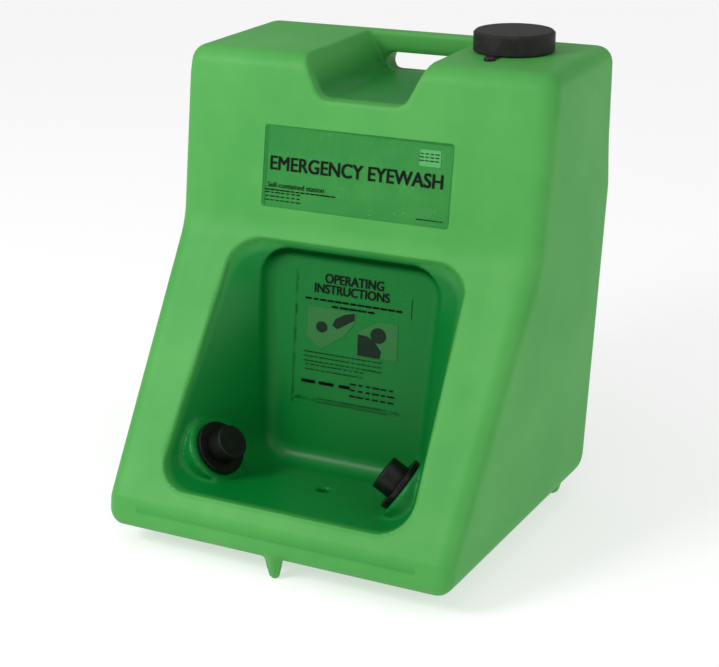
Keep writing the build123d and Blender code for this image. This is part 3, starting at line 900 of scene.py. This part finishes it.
@dataclass
class PrintedFilm:
    """A clear film with rounded corners and what is printed on it."""

    node: str
    film: bpy.types.Material
    ink: bpy.types.Material
    lines: bpy.types.NodeTree
    lift: float = 0.08 * MM
    ink_thickness: float = 0.06 * MM
    pieces: list[bpy.types.Object] = field(default_factory=list)
    plate: Plate | None = None

    def lay(self) -> None:
        """Finds the film's place and gives the CAD film its finish."""
        self.plate = Plate.of(self.node)
        dress([self.node], self.film)

    def lettering(self, name: str, words: str, width: float, tall: float, across: float, above: float,
                  weight: float = 0.0, align: Align = Align.CENTRE) -> None:
        """Prints one line of letters, drawn to a width and a height.

        Args:
            name: the piece's name.
            words: what it says.
            width: the printed line's width.
            tall: the height of its capitals.
            across: how far right of the film's middle its box stands.
            above: how far up from the film's middle its box stands.
            weight: how far each stroke is thickened to either side, in metres.
            align: which edge of its box the place is measured to.
        """
        text = bpy.data.curves.new(name, "FONT")
        text.body = words
        text.extrude = 0.5
        text.resolution_u = 6
        drawn = bpy.data.objects.new(name + "_drawn", text)
        bpy.context.scene.collection.objects.link(drawn)
        piece = baked(drawn, name)
        points = corners(piece.data)
        low, high = points.min(0), points.max(0)
        centred = (points - (low + high) / 2) / (high - low)
        centred *= np.array([width, tall, self.ink_thickness])
        piece.data.vertices.foreach_set("co", centred.astype(np.float32).ravel())
        self.embolden(piece.data, weight)
        piece.data.transform(self.plate.matrix(across - align.value * width / 2, above, self.lift))
        piece.data.materials.clear()
        piece.data.materials.append(self.ink)
        self.pieces.append(piece)

    def embolden(self, mesh: bpy.types.Mesh, weight: float) -> None:
        """Thickens letters by laying copies of them a little apart, each on the one before.

        Args:
            mesh: the letters, changed in place.
            weight: how far a copy is shifted to either side, in metres.
        """
        work = bmesh.new()
        for layer, (right, up) in enumerate([(-1, -0.5), (-1, 0.5), (1, -0.5), (1, 0.5)]):
            copy = mesh.copy()
            copy.transform(Matrix.Translation((right * weight, up * weight, layer * 0.01 * MM)))
            work.from_mesh(copy)
            bpy.data.meshes.remove(copy)
        work.to_mesh(mesh)
        work.free()

    def small_print(self, name: str, width: float, tall: float, across: float, above: float, lines: int,
                    words: int, bar: float, seed: int) -> None:
        """Prints a block of lines too small to read.

        Args:
            name: the piece's name.
            width: the block's width.
            tall: the block's height.
            across: how far right of the film's middle its middle stands.
            above: how far up from the film's middle its middle stands.
            lines: how many lines.
            words: how many words to a line.
            bar: the height of a word.
            seed: the seed of the words' lengths.
        """
        values = {"Width": width, "Height": tall, "Lines": lines, "Words": words, "Bar Height": bar,
                  "Thickness": self.ink_thickness, "Seed": seed, "Ink": self.ink}
        self.pieces.append(grown(name, self.lines, values, self.plate.matrix(across, above, self.lift)))

    def outline(self, name: str, loops: list[list[tuple[float, float]]], across: float, above: float,
                ink: bpy.types.Material | None = None, over: float = 0.0) -> None:
        """Prints flat filled shapes, each drawn by its outline.

        Args:
            name: the piece's name.
            loops: outlines, each a list of corners in metres, counter-clockwise.
            across: how far right of the film's middle the drawing's origin stands.
            above: how far up from the film's middle the drawing's origin stands.
            ink: the ink, or None for the film's own.
            over: how much higher than the first layer of ink it lies.
        """
        work = bmesh.new()
        for loop in loops:
            face = work.faces.new([work.verts.new((x, y, -self.ink_thickness / 2)) for x, y in loop])
            raised = bmesh.ops.extrude_face_region(work, geom=[face])["geom"]
            bmesh.ops.translate(work, verts=[g for g in raised if isinstance(g, bmesh.types.BMVert)],
                                vec=(0, 0, self.ink_thickness))
        bmesh.ops.recalc_face_normals(work, faces=work.faces)
        mesh = bpy.data.meshes.new(name)
        work.to_mesh(mesh)
        work.free()
        mesh.transform(self.plate.matrix(across, above, self.lift + over))
        self.pieces.append(new_object(name, mesh, ink or self.ink))

    def settle_all(self, slot: str) -> None:
        """Hands the printed pieces to the frame.

        Args:
            slot: not used.
        """
        for piece in self.pieces:
            settle(piece, "station")


def rounded(width: float, tall: float, radius: float, steps: int = 5) -> list[tuple[float, float]]:
    """The outline of a rectangle with round corners, centred on the origin.

    Args:
        width: its width.
        tall: its height.
        radius: its corners' radius.
        steps: how many chords to a corner.

    Returns:
        Its corners, counter-clockwise.
    """
    points = []
    for quarter, (sx, sy) in enumerate([(1, 1), (-1, 1), (-1, -1), (1, -1)]):
        cx, cy = sx * (width / 2 - radius), sy * (tall / 2 - radius)
        for step in range(steps + 1):
            angle = math.radians(90 * (quarter + step / steps))
            points.append((cx + radius * math.cos(angle), cy + radius * math.sin(angle)))
    return points


@dataclass
class FrontLabel(PrintedFilm):
    """The film above the basin that says what the station is."""

    def build(self) -> None:
        """Builds and dresses the label."""
        self.lay()
        self.lettering("label_heading", "EMERGENCY EYEWASH", 254 * MM, 18.7 * MM, -1.0 * MM, 4.8 * MM,
                       0.8 * MM)
        self.lettering("label_subheading", "Self-contained station", 86 * MM, 7.0 * MM,
                       -131 * MM, -25 * MM, 0.25 * MM, Align.LEFT)
        self.small_print("label_first_line", 100 * MM, 0.1 * MM, -81 * MM, -32.0 * MM, 2, 14, 1.7 * MM, 3)
        self.small_print("label_small_print", 48 * MM, 10.5 * MM, -107 * MM, -41.0 * MM, 3, 7, 1.6 * MM, 4)
        self.small_print("label_corner_line", 33 * MM, 0.1 * MM, 111 * MM, -47 * MM, 2, 7, 1.3 * MM, 5)
        self.settle_all("film")


@dataclass
class InstructionLabel(PrintedFilm):
    """The film on the basin's back wall that shows how to start the flow."""

    grey: bpy.types.Material | None = None
    pale: bpy.types.Material | None = None
    rise: float = 0.0

    def build(self) -> None:
        """Builds and dresses the label."""
        self.lay()
        self.rise = self.plate.tall / 2 - 110.2 * MM
        up = self.rise
        self.lettering("guide_heading_top", "OPERATING", 88 * MM, 12.8 * MM, 0.0, up + 99 * MM, 0.6 * MM)
        self.lettering("guide_heading_low", "INSTRUCTIONS", 113 * MM, 12.4 * MM, -3 * MM, up + 84 * MM,
                       0.6 * MM)
        self.small_print("guide_subheading_top", 137 * MM, 0.1 * MM, 0.0, up + 68 * MM, 2, 13, 2.7 * MM, 7)
        self.small_print("guide_subheading_low", 55 * MM, 0.1 * MM, 0.0, up + 60.5 * MM, 2, 5, 2.7 * MM, 8)
        self.pictures(up)
        self.small_print("guide_steps_long", 113 * MM, 13 * MM, -12 * MM, up - 14 * MM, 3, 15, 1.4 * MM, 11)
        self.small_print("guide_steps_short", 84 * MM, 7 * MM, -24 * MM, up - 29 * MM, 2, 11, 1.4 * MM, 12)
        self.small_print("guide_bold_word", 56 * MM, 0.1 * MM, -35 * MM, up - 50 * MM, 2, 3, 4.6 * MM, 17)
        self.small_print("guide_notes", 58 * MM, 17 * MM, 35 * MM, up - 52.5 * MM, 3, 6, 2.6 * MM, 13)
        edge = [[(x * MM, y * MM) for x, y in ((86.6, 60), (87.4, 60), (87.4, 87), (86.6, 87))]]
        self.outline("guide_edge_line", edge, 0.0, up)
        self.small_print("guide_fine_lines", 100 * MM, 5.5 * MM, 5 * MM, up - 75.5 * MM, 2, 18, 0.9 * MM, 19)
        self.settle_all("film")

    def pictures(self, up: float) -> None:
        """Prints two plain pictures: a hand that pulls a cap, and a head that leans over the basin.

        Args:
            up: how far the drawing's own zero stands over the film's middle.
        """
        mm = [[(-68, 13), (-46, -1), (-12, 21), (5, 44), (4, 57), (-68, 57)],
              [(8, 30), (9, -3), (70, -1), (68, 50), (37, 48)]]
        panels = [[(x * MM, y * MM) for x, y in loop] for loop in mm]
        self.outline("picture_panels", panels, 0.0, up, self.pale)
        arm = [(-30, 34), (-22, 30), (-6, 40), (4, 46), (3, 56), (-12, 52), (-26, 44)]
        knob = [(-46 + 9 * math.cos(t), 30 + 8 * math.sin(t)) for t in np.linspace(0, 2 * math.pi, 24)[:-1]]
        head = [(40 + 12 * math.cos(t), 30 + 11 * math.sin(t)) for t in np.linspace(0, 2 * math.pi, 28)[:-1]]
        body = [(9, 28), (10, -2), (44, -2), (46, 8), (36, 20), (24, 27)]
        shapes = [[(x * MM, y * MM) for x, y in loop] for loop in (arm, knob, head, body)]
        self.outline("picture_shapes", shapes, 0.0, up, self.grey, 0.05 * MM)


@dataclass
class InspectionTag(PrintedFilm):
    """The small paper label on which the inspection date is written."""

    def build(self) -> None:
        """Builds and dresses the tag."""
        self.lay()
        self.small_print("tag_lines", 22 * MM, 9 * MM, -1 * MM, 1 * MM, 3, 4, 1.5 * MM, 21)
        self.settle_all("tag")


@dataclass
class Bubbles:
    """The air caught under the front film."""

    finish: bpy.types.Material
    tree: bpy.types.NodeTree

    def build(self) -> None:
        """Builds and dresses the blisters."""
        plate = Plate.of("front_label")
        values = {"Width": plate.width - 10 * MM, "Height": plate.tall - 10 * MM, "Density": 5200.0,
                  "Smallest": 0.18 * MM, "Largest": 0.62 * MM, "Seed": 4, "Film": self.finish}
        blisters = grown("film_air_blisters", self.tree, values, plate.matrix(0, 0, 0.02 * MM))
        settle(blisters, "station")


@dataclass
class Filler:
    """The neck's thread, the screw cap with its gasket and vent, and the strap that keeps it."""

    finishes: Finishes
    tree: bpy.types.NodeTree
    pitch: float = 6.0 * MM
    neck_radius: float = 46.0 * MM
    turns: float = 2.0
    depth: float = 1.8 * MM

    def build(self) -> None:
        """Builds the thread and dresses the CAD pieces."""
        neck = Vector(JOINTS["cap_turn"]["pos_m"])
        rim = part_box("filler_neck")[1].z
        start = rim - 3.5 * MM - self.pitch * self.turns
        values = {"Radius": self.neck_radius + self.depth / 2 - 0.4 * MM, "Turns": self.turns,
                  "Climb": self.pitch * self.turns, "Root": 3.0 * MM, "Crest": 1.2 * MM,
                  "Depth": self.depth, "Plastic": self.finishes.tank}
        rib = grown("neck_thread", self.tree, values, Matrix.Translation((neck.x, neck.y, start)))
        settle(rib, "station")
        dress(["filler_neck"], self.finishes.tank)
        dress(["fill_cap"], self.finishes.cap)
        dress(["cap_gasket", "vent_valve"], self.finishes.seal)
        dress(["tether_strap", "tether_rivet"], self.finishes.strap)


@dataclass
class Nozzles:
    """The two spray nozzles in the basin, with their pull-off caps."""

    finishes: Finishes

    def build(self) -> None:
        """Dresses the CAD pieces of both sides."""
        for side in Side:
            tail = "_" + side.value
            dress(["nozzle_housing" + tail, "nozzle_locknut" + tail], self.finishes.nozzle)
            dress(["flow_insert" + tail, "inlet_screen" + tail, "spray_rose" + tail], self.finishes.insert)
            dress(["pull_cap" + tail], self.finishes.pull_cap)
            dress(["nozzle_gasket" + tail, "pull_cap_seal" + tail], self.finishes.seal)


@dataclass
class Studio:
    """A pale floor, soft light and the camera."""

    aim: tuple[float, float, float] = (0.0137, -0.0224, 0.2640)
    distance: float = 2.243
    turn_deg: float = 25.833
    tilt_deg: float = 20.446
    roll_deg: float = -0.332
    lens_mm: float = 82.39
    floor_half: float = 30.0

    def camera(self) -> None:
        """Places the camera."""
        turn, tilt, roll = (math.radians(a) for a in (self.turn_deg, self.tilt_deg, self.roll_deg))
        forward = Vector((-math.sin(turn) * math.cos(tilt), math.cos(turn) * math.cos(tilt), -math.sin(tilt)))
        right = Vector((math.cos(turn), math.sin(turn), 0.0))
        up = right.cross(forward)
        level = right * math.cos(roll) + up * math.sin(roll)
        upright = up * math.cos(roll) - right * math.sin(roll)
        lens = bpy.data.cameras.new("camera")
        lens.lens = self.lens_mm
        lens.sensor_width = 36.0
        lens.sensor_fit = "HORIZONTAL"
        lens.clip_end = 200.0
        holder = bpy.data.objects.new("camera", lens)
        bpy.context.scene.collection.objects.link(holder)
        turned = Matrix((level, upright, -forward)).transposed().to_4x4()
        holder.matrix_world = Matrix.Translation(Vector(self.aim) - forward * self.distance) @ turned
        bpy.context.scene.camera = holder

    def lamp(self, name: str, kind: str, strength: float, place: tuple[float, float, float],
             size: float) -> None:
        """Places one lamp that looks at the middle of the station.

        Args:
            name: the lamp's name.
            kind: AREA or SUN.
            strength: watts for an area lamp, watts a square metre for a sun.
            place: where it stands.
            size: its side in metres, or its spread in degrees for a sun.
        """
        light = bpy.data.lights.new(name, kind)
        light.energy = strength
        if kind == "SUN":
            light.angle = math.radians(size)
        else:
            light.shape = "SQUARE"
            light.size = size
        holder = bpy.data.objects.new(name, light)
        bpy.context.scene.collection.objects.link(holder)
        holder.location = place
        toward = Vector((0.0, 0.0, 0.3)) - Vector(place)
        holder.rotation_euler = toward.to_track_quat("-Z", "Y").to_euler()

    def floor(self) -> None:
        """Lays the floor."""
        paint, tree, where = blank_material("painted_board_matte_white")
        tooth = add_node(tree, "ShaderNodeTexNoise", {}, {"Vector": where, "Scale": per_metre(2.0)})
        colour = add_node(tree, "ShaderNodeMix", {"data_type": "RGBA"}, {
            0: tooth.outputs["Fac"], 6: linear("#bcbcbc"), 7: linear("#bababa")})
        shader = add_node(tree, "ShaderNodeBsdfPrincipled", {}, {
            "Base Color": colour.outputs[2], "Roughness": 0.9, "Specular IOR Level": 0.1,
            "Emission Color": linear("#ffffff"), "Emission Strength": 0.57})
        add_node(tree, "ShaderNodeOutputMaterial", {}, {"Surface": shader.outputs["BSDF"]})
        reach = self.floor_half
        mesh = bpy.data.meshes.new("floor")
        mesh.from_pydata([(-reach, -reach, 0), (reach, -reach, 0), (reach, reach, 0), (-reach, reach, 0)],
                         [], [(0, 1, 2, 3)])
        new_object("floor", mesh, paint)

    def build(self) -> None:
        """Builds the studio."""
        self.camera()
        self.floor()
        world = bpy.data.worlds.new("studio")
        world.use_nodes = True
        world.node_tree.nodes["Background"].inputs["Color"].default_value = linear("#ffffff")
        world.node_tree.nodes["Background"].inputs["Strength"].default_value = 0.42
        bpy.context.scene.world = world
        bpy.context.scene.view_settings.view_transform = "Standard"
        self.lamp("key_softbox", "AREA", 37.0, (-1.25, -1.75, 1.75), 0.9)
        self.lamp("side_softbox", "SUN", 0.72, (2.8, -0.6, 1.9), 50.0)
        self.lamp("top_softbox", "SUN", 0.45, (-0.4, -0.6, 3.0), 60.0)


def main() -> None:
    """Builds every sub-assembly in order."""
    logging.basicConfig(level=logging.INFO, format="%(name)s: %(message)s")
    finishes = Finishes.make()
    small_print = print_lines_tree()
    Tank(finishes.tank).build()
    FrontLabel("front_label", finishes.film, finishes.ink, small_print).build()
    InstructionLabel("instruction_label", finishes.basin_film, finishes.ink, small_print,
                     grey=finishes.grey_ink, pale=finishes.pale_ink).build()
    InspectionTag("inspection_tag", finishes.tag, finishes.ink, small_print).build()
    Bubbles(finishes.bubble, bubbles_tree()).build()
    Filler(finishes, thread_tree()).build()
    Nozzles(finishes).build()
    Studio().build()


if __name__ == "__main__":
    main()
